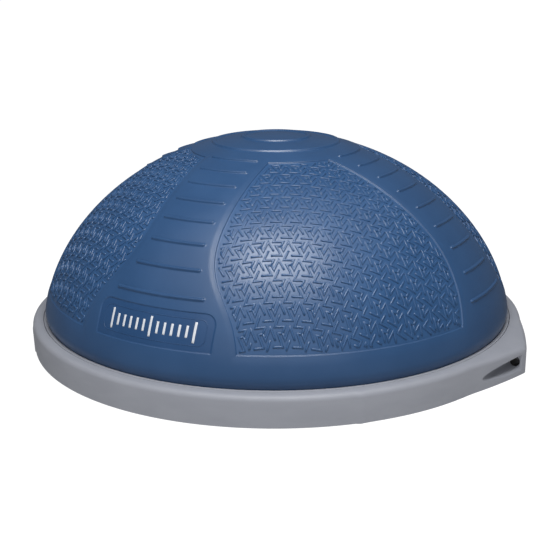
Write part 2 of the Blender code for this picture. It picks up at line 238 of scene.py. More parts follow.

# %% [markdown]
# The finishes are procedural noise, which needs no images and shows no seam on a round form. The dome is
# satin vinyl with a very fine leathery grain and faint clouds. Its panels are a little lighter, which is a
# painted sheen standing in for the broad highlight on their textured floors, and its plates a little darker,
# from the same recipe. The platform and its ring are moulded plastic with a matte, spark-eroded grain, and
# the ring is a little lighter. The print's ink, the plug, the black sleeves and the rubber of the collar and
# the pads take the plastic's recipe in their own colours. The screws are zinc plated steel, and the floor is
# paper with very faint patches.

# %% Finishes
def vinyl(name, deep, light):
    """Satin vinyl between two near colours, deep and light."""
    made = Finish(name, specular_ior_level=0.55)
    clouds = made.noise(0.060, 3.0).between(0.35, 0.70)
    grain = made.noise(0.0007, 2.0)
    pores = made.cells(0.0011)
    made.set(
        base_color=made.mix(clouds * 0.7 + grain * 0.3, deep, light),
        roughness=0.30 + clouds * 0.05 + pores * 0.05,
        normal=made.bump(grain + pores * 0.6, 0.00006, 0.5),
    )
    return made.material


def moulded(name, deep, light, roughness):
    """Matte moulded plastic with a fine spark-eroded grain."""
    made = Finish(name, specular_ior_level=0.4)
    flow = made.noise(0.045, 2.0, stretch=(1.0, 1.0, 3.0)).between(0.3, 0.7)
    grit = made.noise(0.0008, 3.0)
    pits = made.cells(0.0013)
    made.set(
        base_color=made.mix(flow * 0.5 + grit * 0.5, deep, light),
        roughness=roughness + grit * 0.10 - flow * 0.03,
        normal=made.bump(grit + pits * 0.5, 0.00010, 0.7),
    )
    return made.material


def plated(name):
    """Zinc plate: bright, with faint blotches and turning marks."""
    made = Finish(name, metallic=1.0)
    blotch = made.noise(0.004, 3.0)
    marks = made.noise(0.0006, 2.0, stretch=(1.0, 1.0, 6.0))
    made.set(
        base_color=made.mix(blotch, (0.46, 0.47, 0.49), (0.66, 0.67, 0.66)),
        roughness=0.24 + blotch * 0.16,
        normal=made.bump(marks, 0.00004, 0.5),
    )
    return made.material


DOME_VINYL = vinyl("dome_vinyl", (0.0180, 0.057, 0.141), (0.0215, 0.066, 0.160))
# The panels' lighter colour is painted sheen: it stands in for the broad highlight on their textured floors.
PANEL_VINYL_PAINTED_SHEEN = vinyl("panel_vinyl_painted_sheen", (0.021, 0.066, 0.162), (0.025, 0.076, 0.182))
PLATE_VINYL = vinyl("plate_vinyl", (0.0135, 0.050, 0.132), (0.0165, 0.057, 0.148))
PRINT_INK = moulded("print_ink", (0.50, 0.52, 0.56), (0.58, 0.60, 0.63), 0.40)
PLATFORM_PLASTIC = moulded("platform_plastic", (0.238, 0.249, 0.284), (0.268, 0.279, 0.315), 0.50)
RING_PLASTIC = moulded("ring_plastic", (0.250, 0.261, 0.297), (0.280, 0.291, 0.328), 0.48)
PLUG_PLASTIC = moulded("plug_plastic", (0.230, 0.240, 0.265), (0.265, 0.275, 0.300), 0.42)
BLACK_RUBBER = moulded("black_rubber", (0.014, 0.014, 0.015), (0.026, 0.026, 0.027), 0.62)
SLEEVE_PLASTIC = moulded("sleeve_plastic", (0.008, 0.008, 0.009), (0.015, 0.015, 0.016), 0.38)
ZINC_STEEL = plated("zinc_steel")
FLOOR_PAPER = Finish("floor_paper", roughness=0.9, emission_strength=1.0)
paper_tone = FLOOR_PAPER.mix(FLOOR_PAPER.noise(0.9, 2.0), (0.08, 0.08, 0.08), (0.10, 0.10, 0.10))
floor.data.materials.append(FLOOR_PAPER.set(base_color=paper_tone, emission_color=(1.0, 1.0, 1.0)))
print("finishes:", len(bpy.data.materials))

# %% [markdown]
# The dome's outer surface is a turned superellipse. Everything on it is placed by two numbers: an azimuth,
# and the distance down the surface from the top. A table of the curve's length turns that distance into
# a radius, a height and an outward normal. A Screw modifier on a curve would turn the plain dome too, but
# here the same formula also places the relief, the texture and the print. Below the skirt the rim tucks in
# under the clamp ring.

# %% The dome's form
dome_low, dome_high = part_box("dome_shell")
DOME_TOP = dome_high.z
DOME_RADIUS = 0.2982
DOME_BASE = 0.0342
ROUND_R = 2.04
ROUND_Z = 1.74
TUCK_TOP = 0.048
TUCK_BEND = 0.038
TUCK_END = (0.2860, dome_low.z + 3.4 * MM)


def dome_curve():
    """Points (radius, height) of the section, close together, from the top down to the end of the tuck."""
    height = DOME_TOP - DOME_BASE
    start = math.asin(((TUCK_TOP - DOME_BASE) / height) ** (ROUND_Z / 2))
    lift = np.linspace(math.pi / 2, start, 3000)
    radius = DOME_RADIUS * np.clip(np.cos(lift), 0.0, None) ** (2 / ROUND_R)
    level = DOME_BASE + height * np.sin(lift) ** (2 / ROUND_Z)
    lean = (radius[-1] - radius[-2]) / (level[-2] - level[-1])
    top = np.array([radius[-1], level[-1]])
    bend = top + np.array([lean * (TUCK_TOP - TUCK_BEND), TUCK_BEND - TUCK_TOP])
    t = np.linspace(0.0, 1.0, 200)[1:, None]
    tuck = top * (1 - t) ** 2 + bend * 2 * t * (1 - t) + np.array(TUCK_END) * t**2
    return np.vstack([np.column_stack([radius, level]), tuck])


curve = dome_curve()
curve_length = np.concatenate([[0.0], np.cumsum(np.hypot(*np.diff(curve, axis=0).T))])
curve_slope = np.gradient(curve, curve_length, axis=0)
curve_slope /= np.linalg.norm(curve_slope, axis=1)[:, None]
curve_slope[0] = (1.0, 0.0)


def along(column, down):
    return np.interp(down, curve_length, column)


def on_dome(azimuth, down, lift=0.0):
    """Points on the dome, or lifted off it, at these azimuths in radians and distances down."""
    azimuth, down = np.broadcast_arrays(azimuth, down)
    outward, upward = -along(curve_slope[:, 1], down), along(curve_slope[:, 0], down)
    radius = along(curve[:, 0], down) + lift * outward
    height = along(curve[:, 1], down) + lift * upward
    return np.stack([radius * np.sin(azimuth), -radius * np.cos(azimuth), height], axis=-1)


def dome_normal(azimuth, down):
    azimuth, down = np.broadcast_arrays(azimuth, down)
    outward, upward = -along(curve_slope[:, 1], down), along(curve_slope[:, 0], down)
    return np.stack([outward * np.sin(azimuth), -outward * np.cos(azimuth), upward], axis=-1)


RIM = float(curve_length[-1])
print("from the top to the rim:", round(RIM, 4), "m, widest", round(float(curve[:, 0].max()), 4))

# %% [markdown]
# Four smooth bands run down the dome and leave four recessed panels between them. Both kinds of band have
# raised ribs and flare near the bottom. Two opposite ones carry a plate, so they flare more. The widths are
# measured across the band, from its middle line to the panel's edge, as a smooth function of the distance
# down: a formula keeps the edge smooth however fine the mesh is, where a drawn outline would have corners.

# %% Outlines of bands, panels, ribs and plates
PANEL_TOP = 0.1078
PANEL_BOTTOM = 0.3691
PANEL_DEPTH = 1.5 * MM
SHOULDER_DEPTH = 0.45 * MM
SHOULDER = 7.0 * MM
WALL = 1.1 * MM
RIB_COUNT = 9
RIB_HALF = 2.5 * MM
RIB_HEIGHT = 1.9 * MM
PLATE_TOP = 0.3263
PLATE_BOTTOM = 0.3697
PLATE_HALF = 0.0764
PLATE_CORNER = 0.0145
PLATE_DEPTH = 1.0 * MM
CROWN_RINGS = (0.041, 0.078)
CROWN_RING_HALF = 3.6 * MM
CROWN_RING_HEIGHT = 2.0 * MM
PLATE_BAND = 0.044
PLATE_FLARE = 0.032
PLATE_FLARE_MIDDLE = 0.312
PLATE_FLARE_LENGTH = 0.047
PLAIN_BAND = 0.0469
PLAIN_FLARE = 1.17
PLAIN_FLARE_START = 0.252
PLAIN_FLARE_POWER = 1.7
PLATE_RIB_SHARE = 0.75
PLAIN_RIB_SHARE = 0.65
LOW_RIB_SHARE = 0.08
LOW_RIBS = (0.31, 0.345)
FIRST_RIB = 0.1070
RIB_PITCH = 0.02623
RIB_SPREAD = 0.00045
QUARTER = math.pi / 2


def step(value, low, high):
    """0 below low, 1 above high, smooth between."""
    t = np.clip((value - low) / (high - low), 0.0, 1.0)
    return t * t * (3 - 2 * t)


def plate_band_half(down):
    """Half the width of a band with a plate."""
    return PLATE_BAND + PLATE_FLARE * (1 + np.tanh((down - PLATE_FLARE_MIDDLE) / PLATE_FLARE_LENGTH))


def plain_band_half(down):
    """Half the width of a band without one."""
    return PLAIN_BAND + PLAIN_FLARE * np.clip(down - PLAIN_FLARE_START, 0.0, None) ** PLAIN_FLARE_POWER


def rib_place(index):
    """How far down the rib with this number is. The ribs lie a little further apart towards the bottom."""
    return FIRST_RIB + RIB_PITCH * index + RIB_SPREAD * index**2


def plate_edge_half(down):
    """Half the plate's width, with its two round top corners."""
    rise = np.clip(PLATE_TOP + PLATE_CORNER - down, 0.0, PLATE_CORNER)
    return PLATE_HALF - PLATE_CORNER + np.sqrt(PLATE_CORNER**2 - rise**2)


def plate_rib_half(down):
    """Where a plate band's ribs end, and further down where its plate ends."""
    rib_end = np.minimum(PLATE_RIB_SHARE * plate_band_half(down), PLATE_HALF - PLATE_CORNER)
    return np.where(down < PLATE_TOP, rib_end, plate_edge_half(down))


def plain_rib_half(down):
    """Where a plain band's ribs end: its lowest ribs take more of its width."""
    return (PLAIN_RIB_SHARE + LOW_RIB_SHARE * step(down, *LOW_RIBS)) * plain_band_half(down)


BANDS = [(plate_band_half, plate_rib_half), (plain_band_half, plain_rib_half)] * 2
print("ribs at", [round(rib_place(i), 4) for i in range(RIB_COUNT)])

# %% [markdown]
# The height of the relief at any place is a formula on signed distances: a step down inside a panel's
# outline, a rounded ridge along each rib, a flat step inside the plate's rounded box, and two plain rings
# round the crown. A Displace modifier with a texture would blur these edges, and a formula on distances
# keeps every wall as narrow as it should be.

# %% Relief height
def panel_depth_inside(across, down, band_half):
    """Distance inside the panel's outline, for points at this distance from the band's middle."""
    side = across - band_half(down)
    return np.minimum(np.minimum(side, down - PANEL_TOP), PANEL_BOTTOM - down)


def plate_inside(across, down):
    """Distance inside the plate's outline, a box with two round top corners."""
    sideways = across - (PLATE_HALF - PLATE_CORNER)
    upwards = (PLATE_TOP + PLATE_CORNER) - down
    corner = PLATE_CORNER - np.hypot(np.clip(sideways, 0, None), np.clip(upwards, 0, None))
    straight = np.minimum(PLATE_HALF - across, down - PLATE_TOP)
    inside = np.where((sideways > 0) & (upwards > 0), corner, straight)
    return np.minimum(inside, PLATE_BOTTOM - down)


def relief(across, down, kind):
    """Height over the plain dome at this distance from the middle of the nearest band."""
    band_half, rib_half = BANDS[kind]
    has_plate = kind % 2 == 0
    inside = panel_depth_inside(across, down, band_half)
    height = -SHOULDER_DEPTH * step(inside, -SHOULDER, 0.0) - PANEL_DEPTH * step(inside, 0.0, WALL)
    for index in range(RIB_COUNT - 1 if has_plate else RIB_COUNT):
        place = rib_place(index)
        reach = float(rib_half(np.float64(place))) - RIB_HALF
        away = np.hypot(np.clip(across - reach, 0.0, None), down - place)
        height = height + RIB_HEIGHT * step(RIB_HALF - away, 0.0, 0.8 * RIB_HALF)
    if has_plate:
        height = height - PLATE_DEPTH * step(plate_inside(across, down), 0.0, WALL)
    for ring in CROWN_RINGS:
        near = CROWN_RING_HALF - np.abs(down - ring)
        height = height + CROWN_RING_HEIGHT * step(near, 0.0, 0.6 * CROWN_RING_HALF)
    return height


print("panel floor at", round(float(relief(0.09, 0.2, 0)) / MM, 2), "mm")

# %% [markdown]
# The dome's mesh is to be a grid whose lines follow the outlines: some columns run down the bands' edges, the
# rib ends and the plate's sides, and rows are close together at each rib and step. The relief's sharp
# edges then fall on mesh edges, where an even grid would show stairs. Above the panels the columns run to
# the top as plain meridians.

# %% The grid's lines
CROWN_FREEZE = 0.104
RIB_END_OFFSETS = np.array([-3.0, -2.2, -1.4, -0.7, 0.0, 0.7, 1.5]) * MM
EDGE_OFFSETS = np.array([-6.5, -5.0, -3.5, -2.2, -1.1, -0.4, 0.0, 0.3, 0.6, 0.9, 1.2, 1.7, 2.6]) * MM
ROW_OFFSETS = np.array([-6.0, -3.5, -2.0, -1.0, -0.4, 0.0, 0.4, 0.8, 1.2, 1.8]) * MM
ROW_PITCH = 4.0 * MM
CLOSEST_ROWS = 0.32 * MM


def half_band_columns(rib_half, band_half):
    """Distances from a band's middle line: to the rib ends, to the panel's edge and just inside it."""
    inner = np.linspace(0.0, rib_half - 4.2 * MM, 10)
    rib_end = rib_half + RIB_END_OFFSETS
    outer = np.linspace(rib_half + 3.0 * MM, band_half - 8.0 * MM, 4)
    edge = band_half + EDGE_OFFSETS
    return np.sort(np.concatenate([inner, rib_end, outer, edge]))


def row_places():
    """Distances down of the grid's rows, closer at each feature."""
    steps = [np.arange(ROW_PITCH, RIM, ROW_PITCH)]
    for index in range(RIB_COUNT):
        steps.append(rib_place(index) + np.linspace(-3.0, 3.0, 11) * MM)
    for edge in (PANEL_TOP, PANEL_BOTTOM, PLATE_TOP, PLATE_BOTTOM):
        steps.append(edge + ROW_OFFSETS)
    steps.append(np.linspace(PLATE_TOP, PLATE_TOP + PLATE_CORNER, 14))
    for ring in CROWN_RINGS:
        steps.append(ring + np.linspace(-1.0, 1.0, 13) * 1.2 * CROWN_RING_HALF)
    steps.append(np.linspace(RIM - 0.020, RIM, 14))
    places = np.unique(np.round(np.concatenate(steps), 6))
    kept = [places[0]]
    for place in places[1:]:
        if place - kept[-1] > CLOSEST_ROWS:
            kept.append(place)
    return np.array(kept)


def dome_row(down):
    """Azimuths of one row's points, with each point's distance from the middle of its band."""
    held = max(down, CROWN_FREEZE)
    radius = float(along(curve[:, 0], held))
    azimuths, across, kinds = [], [], []
    for kind, (band_half, rib_half) in enumerate(BANDS):
        half = half_band_columns(float(rib_half(np.float64(held))), float(band_half(held)))
        next_band, next_rib = BANDS[(kind + 1) % 4]
        following = half_band_columns(float(next_rib(np.float64(held))), float(next_band(held)))
        start, end = half[-1] / radius, QUARTER - following[-1] / radius
        between = np.linspace(start, end, 32)[1:-1]
        turn = np.concatenate([half / radius, between, QUARTER - following[::-1][:-1] / radius])
        first_half = turn < QUARTER / 2
        azimuths.append(kind * QUARTER + turn)
        across.append(np.where(first_half, turn, QUARTER - turn) * radius)
        kinds.append(np.where(first_half, kind, (kind + 1) % 4))
    return np.concatenate(azimuths), np.concatenate(across), np.concatenate(kinds)


print("rows:", len(row_places()), "points in a row:", len(dome_row(0.2)[0]))

# %% [markdown]
# Pieces are made as arrays of points and faces, and one helper turns the arrays into a mesh object. Blender's
# own mesh primitives could be joined and bent instead, but arrays take a formula for every point. The helper
# shades the piece smooth and can leave its sharp edges crisp.

# %% Meshes from arrays
def grid_faces(rows, columns):
    """Quads of a grid that closes on itself sideways, rows running down."""
    index = np.arange(rows * columns).reshape(rows, columns)
    following = np.roll(index, -1, axis=1)
    return np.stack([index[:-1], index[1:], following[1:], following[:-1]], axis=-1).reshape(-1, 4)


def reshape(mesh, change):
    """Runs a change on the mesh as a bmesh."""
    shape = bmesh.new()
    shape.from_mesh(mesh)
    change(shape)
    shape.to_mesh(mesh)
    shape.free()


def new_piece(name, points, faces, finish, sharp=None, weld=False):
    """A mesh object from arrays, shaded smooth, or with its edges over `sharp` degrees left crisp."""
    mesh = bpy.data.meshes.new(name)
    mesh.from_pydata(np.asarray(points).tolist(), [], [list(face) for face in faces])
    if weld:
        reshape(mesh, lambda shape: bmesh.ops.remove_doubles(shape, verts=shape.verts, dist=1e-6))
    mesh.update()
    mesh.shade_smooth()
    if sharp:
        mesh.set_sharp_from_angle(angle=math.radians(sharp))
    mesh.materials.append(finish)
    piece = bpy.data.objects.new(name, mesh)
    bpy.context.scene.collection.objects.link(piece)
    print(f"{name}: {len(mesh.vertices)} points, {len(mesh.polygons)} faces")
    return piece


print("mesh helpers ready")

# %% [markdown]
# The dome is one airtight skin, so it is one mesh: the relief lifts each row of points off the turned form.
# The panels are a little lighter, a painted sheen, and the plates a little darker. They take their own
# finishes by face, because separate skins would show gaps where they meet. The faces round the valve's axis
# are left out, so that the collar has its hole.

# %% The dome
VALVE_CLEAR = 0.0092


def make_dome():
    """The dome, with a material slot for its smooth skin, its panels and its plates."""
    rows = row_places()
    points, areas = [], []
    for down in rows:
        azimuth, across, kinds = dome_row(down)
        heights = np.zeros(len(azimuth))
        area = np.zeros(len(azimuth), int)
        for kind, (band_half, _) in enumerate(BANDS):
            mine = kinds == kind
            heights[mine] = relief(across[mine], np.full(mine.sum(), down), kind)
            area[mine] = panel_depth_inside(across[mine], down, band_half) > 0.5 * WALL
        area[(kinds % 2 == 0) & (plate_inside(across, down) > 0.5 * WALL)] = 2
        points.append(on_dome(azimuth, down, heights))
        areas.append(area)
    columns = len(points[0])
    faces = grid_faces(len(rows), columns)
    points = np.vstack(points)
    top = len(points)
    points = np.vstack([points, on_dome(0.0, 0.0)[None]])
    cap = [(top, i, (i + 1) % columns) for i in range(columns)]
    points, faces = open_valve_hole(points, faces)
    dome = new_piece("dome", points, [*faces, *cap], DOME_VINYL)
    area = np.append(np.concatenate(areas), 0)
    # The panels' finish is lighter: painted sheen.
    dome.data.materials.append(PANEL_VINYL_PAINTED_SHEEN)
    dome.data.materials.append(PLATE_VINYL)
    for polygon in dome.data.polygons:
        polygon.material_index = int(min(area[i] for i in polygon.vertices))
    reshape(dome.data, drop_unused_points)
    return dome


def open_valve_hole(points, faces):
    """Leaves out the faces round the valve's axis, and draws the hole's edge to a circle."""
    low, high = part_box("valve_seat")
    joint = frame["joints"][0]
    axis = np.array(Vector(joint["axis"]).normalized())
    away = points - np.array((low + high) / 2)
    from_axis = away - (away @ axis)[:, None] * axis
    distance = np.linalg.norm(from_axis, axis=1)
    near = (np.abs(away @ axis) < 0.03) & (distance < VALVE_CLEAR + 1.2 * MM)
    kept = faces[~near[faces].all(axis=1)]
    edge = np.intersect1d(np.nonzero(near)[0], kept)
    points = points.copy()
    points[edge] += from_axis[edge] * (VALVE_CLEAR / distance[edge] - 1)[:, None]
    return points, kept


def drop_unused_points(shape):
    bmesh.ops.delete(shape, geom=[v for v in shape.verts if not v.link_faces], context="VERTS")


dome = make_dome()
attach(dome, "trainer")
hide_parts("dome_shell")

# %% [markdown]
# Thin raised lines are swept: a closed section follows a path on the dome, with mitred corners and
# tapered ends. A bevelled curve object could twist off the dome's normal, and this sweep can't. The same
# helper makes the panels' texture, the fine line inside each plate and the print.

# %% Sweep a section along paths on a surface
LEAST_MITRE = 0.45
END_WIDTH = 0.55
END_LIFT = 0.25


def unit(vectors):
    return vectors / np.linalg.norm(vectors, axis=-1, keepdims=True)


def sweep_one(points, normals, section, taper, closed):
    """Points of the swept section, one ring for each path point, and a lowered ring past each open end."""
    step_to = unit(np.roll(points, -1, axis=0) - points)
    step_from = np.roll(step_to, 1, axis=0)
    if not closed:
        step_to[-1] = step_from[-1]
        step_from[0] = step_to[0]
    side = unit(np.cross(normals, unit(step_to + step_from)))
    mitre = 1 / np.clip((side * np.cross(normals, step_to)).sum(axis=1), LEAST_MITRE, 1.0)
    width = np.ones(len(points))
    if not closed:
        points = np.vstack([points[:1] - step_to[:1] * taper, points, points[-1:] + step_from[-1:] * taper])
        normals, side = (np.vstack([a[:1], a, a[-1:]]) for a in (normals, side))
        mitre = np.concatenate([mitre[:1], mitre, mitre[-1:]])
        width = np.concatenate([[END_WIDTH], width, [END_WIDTH]])
    across = section[:, 0][None, :, None] * (mitre * width)[:, None, None] * side[:, None, :]
    low = section[:, 1].min()
    lift = np.repeat(section[None, :, 1], len(points), axis=0)
    if not closed:
        lift[[0, -1]] = low + (lift[[0, -1]] - low) * END_LIFT
    return points[:, None, :] + across + lift[:, :, None] * normals[:, None, :]


def sweep(name, paths, section, finish, taper=0.0, closed=False):
    """One piece from many paths, each (points, normals). The section is a closed loop of (across, up)."""
    rings, faces, count = [], [], 0
    size = len(section)
    for points, normals in paths:
        swept = sweep_one(points, normals, section, taper, closed)
        length = len(swept)
        index = count + np.arange(length * size).reshape(length, size)
        first, second = index, np.roll(index, -1, axis=0)
        if not closed:
            first, second = index[:-1], index[1:]
        corners = [first, np.roll(first, -1, axis=1), np.roll(second, -1, axis=1), second]
        faces += np.stack(corners, axis=-1).reshape(-1, 4).tolist()
        if not closed:
            faces += [index[0, ::-1].tolist(), index[-1].tolist()]
        rings.append(swept.reshape(-1, 3))
        count += length * size
    return new_piece(name, np.vstack(rings), faces, finish)


def ridge_section(half, top, bottom, count=5):
    """A low rounded ridge: an arch of `count` points over a flat bottom."""
    turn = np.linspace(0.12 * math.pi, 0.88 * math.pi, count)
    arch = np.column_stack([-half * np.cos(turn) / math.cos(turn[0]), top * np.sin(turn) ** 0.7])
    return np.vstack([[(-half * 1.12, bottom)], arch, [(half * 1.12, bottom)]])[::-1]


print("sweep ready")

# %% [markdown]
# The panels' texture is one motif on a triangular grid: three arms leave a centre at 120 degrees, and
# each arm turns twice, one step out, two steps back past the centre and two steps out again, like a small
# pinwheel. The motif repeats every four steps. It was drawn flat and then stretched over the dome, so the
# grid is laid out in a flat map of the dome whose distances shrink a little towards the rim.

# %% Panel texture
TEXTURE_PITCH = 0.02315
TEXTURE_STEP = TEXTURE_PITCH / 4
TEXTURE_TURN = math.radians(29.8)
TEXTURE_CENTRE = np.array([0.11889, -0.22926])
TEXTURE_MARGIN = 3.6 * MM
RIDGE_HALF = 1.15 * MM
RIDGE_HEIGHT = 1.15 * MM
RIDGE_ROOT = 0.35 * MM
RIDGE_TAPER = 0.5 * MM
FLAT_UNIT = 0.3125
ARM_TURNS = (-60.0, 60.0, -60.0)
ARM_STEPS = (1, 2, 2)
ridge_lift = -(SHOULDER_DEPTH + PANEL_DEPTH)


def flat_distance(down):
    """How far from the middle of the flat map a place this far down the dome lies."""
    share = down / FLAT_UNIT
    return down * (1 - 0.0388 * share**2 - 0.0197 * share**4)


down_table = np.linspace(0.0, RIM, 2000)
flat_table = flat_distance(down_table)


def from_flat(flat):
    """Azimuths and distances down, for points of the flat map."""
    down = np.interp(np.hypot(flat[:, 0], flat[:, 1]), flat_table, down_table)
    return np.arctan2(flat[:, 0], -flat[:, 1]), down


def pinwheel_arm(turn):
    """One arm's path from the motif's centre, with a point every half step."""
    path = [np.zeros(2)]
    for angle, steps in zip(ARM_TURNS, ARM_STEPS):
        heading = math.radians(angle + turn) + TEXTURE_TURN
        ahead = np.array([math.cos(heading), math.sin(heading)]) * TEXTURE_STEP / 2
        for _ in range(2 * steps):
            path.append(path[-1] + ahead)
    return np.array(path)


print("arms of", len(pinwheel_arm(0.0)), "points")

# %% [markdown]
# The motif is laid out over the whole map, and each arm is cut where it comes too near a panel's outline, so
# that every panel keeps a smooth margin. An Array modifier could repeat the motif, but it couldn't stop at
# the outline. Each panel's ridges are one piece that stands on the panel's floor.

# %% Texture on the panels
def texture_inside(azimuth, down):
    """Distance inside the nearest panel's outline, and that panel's number."""
    turn = np.mod(azimuth, 2 * math.pi)
    panel = np.floor(turn / QUARTER).astype(int)
    radius = along(curve[:, 0], down)
    from_first = (turn - panel * QUARTER) * radius
    from_second = (QUARTER - (turn - panel * QUARTER)) * radius
    inside = np.zeros(len(turn))
    for kind in range(4):
        mine = panel == kind
        first_half, second_half = BANDS[kind][0], BANDS[(kind + 1) % 4][0]
        first = panel_depth_inside(from_first[mine], down[mine], first_half)
        second = panel_depth_inside(from_second[mine], down[mine], second_half)
        inside[mine] = np.minimum(first, second)
    return inside, panel


def texture_paths():
    """The texture's paths for each panel, cut where they reach the smooth margin."""
    reach = int(flat_table.max() / TEXTURE_PITCH) + 14
    first = np.array([math.cos(TEXTURE_TURN), math.sin(TEXTURE_TURN)]) * TEXTURE_PITCH
    second_turn = TEXTURE_TURN - math.radians(60)
    second = np.array([math.cos(second_turn), math.sin(second_turn)]) * TEXTURE_PITCH
    arms = [pinwheel_arm(turn) for turn in (0.0, 120.0, 240.0)]
    paths = {panel: [] for panel in range(4)}
    for i in range(-reach, reach):
        for j in range(-reach, reach):
            centre = TEXTURE_CENTRE + i * first + j * second
            if np.hypot(*centre) > flat_table.max() + TEXTURE_PITCH:
                continue
            for arm in arms:
                azimuth, down = from_flat(centre + arm)
                inside, panel = texture_inside(azimuth, down)
                keep = inside > TEXTURE_MARGIN
                for run in runs_of(keep):
                    points = on_dome(azimuth[run], down[run], ridge_lift)
                    paths[int(panel[run][0])].append((points, dome_normal(azimuth[run], down[run])))
    return paths


def runs_of(keep):
    """Slices of at least two neighbouring points that are all kept."""
    edges = np.flatnonzero(np.diff(np.concatenate([[0], keep.astype(int), [0]])))
    return [slice(a, b) for a, b in zip(edges[::2], edges[1::2]) if b - a >= 2]


texture_section = ridge_section(RIDGE_HALF, RIDGE_HEIGHT, -RIDGE_ROOT)
for panel, paths in texture_paths().items():
    # The ridges take the panels' lighter finish, a painted sheen.
    texture = sweep(f"panel_texture_{panel + 1}", paths, texture_section, PANEL_VINYL_PAINTED_SHEEN, RIDGE_TAPER)
    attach(texture, "trainer")

# %% [markdown]
# Each plate keeps a fine raised line a little inside its outline. It carries a plain printed scale: a row
# of upright ticks, the middle and the two end ones longer. The ticks are real strips a sixth of a millimetre
# thick and not a painted mask, so their edges stay sharp at any distance.

# %% Plates
PLATE_LINE_SIDE = 9.5 * MM
PLATE_LINE_END = 7.5 * MM
PLATE_LINE_CORNER = 8.0 * MM
TICK_COUNT = 13
TICK_ROW = 0.108
TICK_LONG = 0.0225
TICK_SHORT = 0.0130
TICK_WIDTH = 2.8 * MM
TICK_TAPER = 0.1 * MM
TICK_SECTION = ((0.5, -0.2), (0.5, 0.10), (0.42, 0.16), (-0.42, 0.16), (-0.5, 0.10), (-0.5, -0.2))
plate_lift = -PLATE_DEPTH


def on_plate(middle, across, down, lift):
    """Points and normals on the plate whose band lies at this azimuth."""
    azimuth = middle + across / along(curve[:, 0], down)
    return on_dome(azimuth, down, lift), dome_normal(azimuth, down)


def rounded_loop(half_width, top, bottom, corner):
    """A loop with round corners, as (across, down) points."""
    loop = []
    for side, end, start in ((1, bottom, 90), (-1, bottom, 0), (-1, top, 270), (1, top, 180)):
        centre = np.array([side * (half_width - corner), end + (corner if end == top else -corner)])
        for angle in np.radians(np.linspace(start, start - 90, 9)):
            loop.append(centre + corner * np.array([math.sin(angle), math.cos(angle)]))
    loop = np.array(loop)
    dense = []
    for here, following in zip(loop, np.roll(loop, -1, axis=0)):
        count = max(1, int(np.hypot(*(following - here)) / (3 * MM)))
        dense.append(here + (following - here) * np.arange(count)[:, None] / count)
    return np.vstack(dense)


def make_plate(number, middle):
    """The line and the scale of the plate whose band lies at this azimuth."""
    top, bottom = PLATE_TOP + PLATE_LINE_END, PLATE_BOTTOM - PLATE_LINE_END
    loop = rounded_loop(PLATE_HALF - PLATE_LINE_SIDE, top, bottom, PLATE_LINE_CORNER)
    line = sweep(
        f"plate_line_{number}",
        [on_plate(middle, loop[:, 0], loop[:, 1], plate_lift)],
        ridge_section(0.45 * MM, 0.30 * MM, -0.3 * MM),
        PLATE_VINYL,
        closed=True,
    )
    ticks = []
    level = (PLATE_TOP + PLATE_BOTTOM) / 2
    for i in range(TICK_COUNT):
        across = (i / (TICK_COUNT - 1) - 0.5) * TICK_ROW
        length = TICK_LONG if i % (TICK_COUNT // 2) == 0 else TICK_SHORT
        down = level + np.linspace(-0.5, 0.5, 9) * length
        ticks.append(on_plate(middle, np.full(9, across), down, plate_lift))
    section = np.array(TICK_SECTION) * np.array([TICK_WIDTH, MM])
    scale = sweep(f"printed_scale_{number}", ticks, section, PRINT_INK, TICK_TAPER)
    for piece in (line, scale):
        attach(piece, "trainer")


make_plate(1, 0.0)
make_plate(2, math.pi)

# %% [markdown]
# The other pieces are turned or start as turned ones. An outline is a list of corners, each with the size
# of its rounding, and a corner becomes a true arc, so every edge catches the light without a Bevel modifier.
# The outline turns about the upright axis, or about any axis that a matrix gives. Cuts are exact Booleans
# with cutters that are removed afterwards.

# %% Turned pieces and cuts
def fillet(before, corner, after, size, count=5):
    """An arc that rounds a corner, from `size` before it to `size` after it."""
    first, second = unit(before - corner), unit(after - corner)
    weight = math.sqrt((1 - float(first @ second)) / 2)
    t = np.linspace(0.0, 1.0, count + 1)[:, None]
    start, middle, end = (1 - t) ** 2, 2 * weight * t * (1 - t), t**2
    weighted = start * (corner + first * size) + middle * corner + end * (corner + second * size)
    return weighted / (start + middle + end)


def outline(corners, closed=True):
    """Points (radius, height) from corners (radius, height) or (radius, height, rounding)."""
    places = np.array([corner[:2] for corner in corners])
    points = []
    for i, corner in enumerate(corners):
        if len(corner) == 3:
            points.extend(fillet(places[i - 1], places[i], places[(i + 1) % len(places)], corner[2]))
        else:
            points.append(places[i])
    if closed:
        points.append(points[0])
    return np.array(points)


def turned(name, section, steps, finish, place=None, sharp=35.0):
    """A turned piece from an outline that runs down its outer side."""
    azimuth = np.linspace(0.0, 2 * math.pi, steps, endpoint=False)
    radius, height = section[:, :1], section[:, 1:]
    points = [radius * np.sin(azimuth), -radius * np.cos(azimuth), height + 0 * azimuth]
    faces = grid_faces(len(section), steps)
    piece = new_piece(name, np.stack(points, axis=-1).reshape(-1, 3), faces, finish, sharp, weld=True)
    if place:
        piece.data.transform(place)
    return piece


def cut(piece, cutters, sharp=35.0):
    """Cuts the cutters from the piece and removes them."""
    tools = bpy.data.collections.new("cutters")
    for cutter in cutters:
        tools.objects.link(cutter)
    modifier = piece.modifiers.new("cut", "BOOLEAN")
    modifier.operand_type = "COLLECTION"
    modifier.collection = tools
    modifier.solver = "EXACT"
    graph = bpy.context.evaluated_depsgraph_get()
    mesh = bpy.data.meshes.new_from_object(piece.evaluated_get(graph))
    piece.modifiers.clear()
    piece.data = mesh
    mesh.set_sharp_from_angle(angle=math.radians(sharp))
    for cutter in cutters:
        bpy.data.objects.remove(cutter)
    print(f"{piece.name} after its cuts: {len(mesh.vertices)} points, {len(mesh.polygons)} faces")


